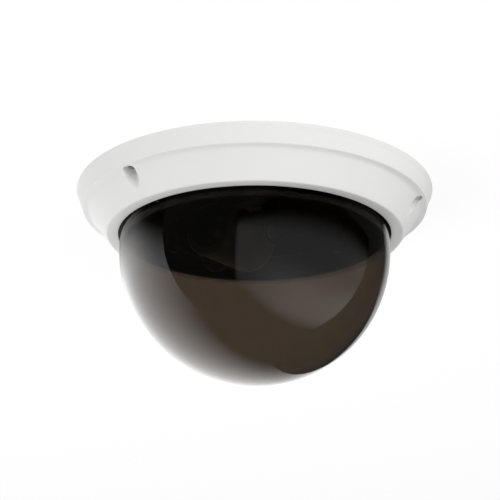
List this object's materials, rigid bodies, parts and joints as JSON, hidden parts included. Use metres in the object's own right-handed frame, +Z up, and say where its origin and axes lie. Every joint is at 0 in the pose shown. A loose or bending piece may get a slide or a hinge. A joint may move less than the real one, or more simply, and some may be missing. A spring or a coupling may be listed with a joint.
{
  "type": "security camera",
  "caption": "Ceiling dome security camera: round white stepped cover, smoked hemispherical bubble, and a geared pan and tilt camera head inside a black liner.",
  "frame": {"origin": "centre of the ceiling face of the base plate and cover rim", "axes": "+Z up into the ceiling along the dome's axis, -Y front, +X right seen from the front and below"},
  "size_m": [0.2, 0.2, 0.1087],
  "materials": {
    "white_cover": "satin moulded, fine grain",
    "smoked_dome": "polished smoked polycarbonate",
    "black_rubber": "matt",
    "black_liner": "matt moulded",
    "die_cast": "die cast, bead blasted",
    "steel": "bright",
    "black_steel": "black oxide",
    "circuit_board": "solder mask",
    "chip_black": "moulded epoxy",
    "header_white": "moulded nylon",
    "heat_sink_black": "black anodised",
    "lamp_lens": "translucent",
    "button_plastic": "moulded",
    "gear_plastic": "moulded acetal",
    "brass_bush": "turned",
    "module_black": "fine grain",
    "window_glass": "polished",
    "lens_glass": "coated"
  },
  "bodies": {
    "housing": {"cover_casing": "white_cover", "dome_bubble": "smoked_dome", "dome_gasket": "black_rubber", "dome_clamp_ring": "die_cast", "clamp_ring_screws": "steel", "cover_screws": "steel", "base_seal": "black_rubber", "base_plate": "die_cast", "gimbal_pillars": "steel", "cable_grommet": "black_rubber", "gimbal_ring": "module_black", "gimbal_screws": "steel", "liner_shroud": "black_liner", "liner_screws": "black_steel", "main_board": "circuit_board", "board_screws": "steel", "network_header": "header_white", "power_header": "header_white", "processor": "chip_black", "heat_sink": "heat_sink_black", "card_slot": "steel", "status_led": "lamp_lens", "reset_switch": "chip_black", "pan_motor": "steel", "pan_motor_screws": "steel"},
    "pan_carriage": {"pan_gear": "gear_plastic", "pan_carrier": "black_liner", "camera_yoke": "black_steel", "tilt_bushes": "brass_bush", "yoke_screws": "black_steel", "motor_bracket": "black_steel", "bracket_screws": "black_steel", "tilt_motor": "steel", "tilt_motor_screws": "steel"},
    "pan_drive_pinion": {"pan_motor_shaft": "steel", "pan_pinion": "gear_plastic"},
    "camera_head": {"module_front_shell": "module_black", "module_rear_shell": "module_black", "tilt_pins": "steel", "tilt_gear": "gear_plastic", "front_window": "window_glass", "lens_mount": "module_black", "lens_barrel": "module_black", "front_lens": "lens_glass", "sensor_board": "circuit_board", "image_sensor": "chip_black", "sensor_screws": "steel"},
    "tilt_drive_pinion": {"tilt_motor_shaft": "steel", "tilt_pinion": "gear_plastic"},
    "focus_ring": {"focus_ring": "black_rubber"},
    "reset_button": {"reset_button": "button_plastic"}
  },
  "joints": [
    {"name": "pan", "type": "hinge", "parent": "housing", "child": "pan_carriage", "pos_m": [0, 0, -0.0125], "axis": [0, 0, 1], "range_deg": [-175, 175]},
    {"name": "pan_pinion_turn", "type": "hinge", "parent": "housing", "child": "pan_drive_pinion", "pos_m": [0.02521, 0.05406, -0.0125], "axis": [0, 0, 1], "range_deg": [-1220, 1220]},
    {"name": "tilt", "type": "hinge", "parent": "pan_carriage", "child": "camera_head", "pos_m": [-0.00616, -0.00788, -0.03], "axis": [0.788, -0.6157, 0], "range_deg": [0, 90]},
    {"name": "tilt_pinion_turn", "type": "hinge", "parent": "pan_carriage", "child": "tilt_drive_pinion", "pos_m": [-0.01434, 0.01738, -0.01959], "axis": [0.788, -0.6157, 0], "range_deg": [-185, 5]},
    {"name": "focus", "type": "hinge", "parent": "camera_head", "child": "focus_ring", "pos_m": [-0.01601, -0.02049, -0.03], "axis": [-0.6157, -0.788, 0], "range_deg": [-60, 60]},
    {"name": "reset_press", "type": "slide", "parent": "housing", "child": "reset_button", "axis": [0, 0, 1], "range_m": [0, 0.0005], "stiffness_N_per_m": 200, "springref_m": -0.0005}
  ],
  "couplings": [
    {"joint": "pan_pinion_turn", "follows": "pan", "ratio": -6.9333},
    {"joint": "tilt_pinion_turn", "follows": "tilt", "ratio": -2}
  ]
}
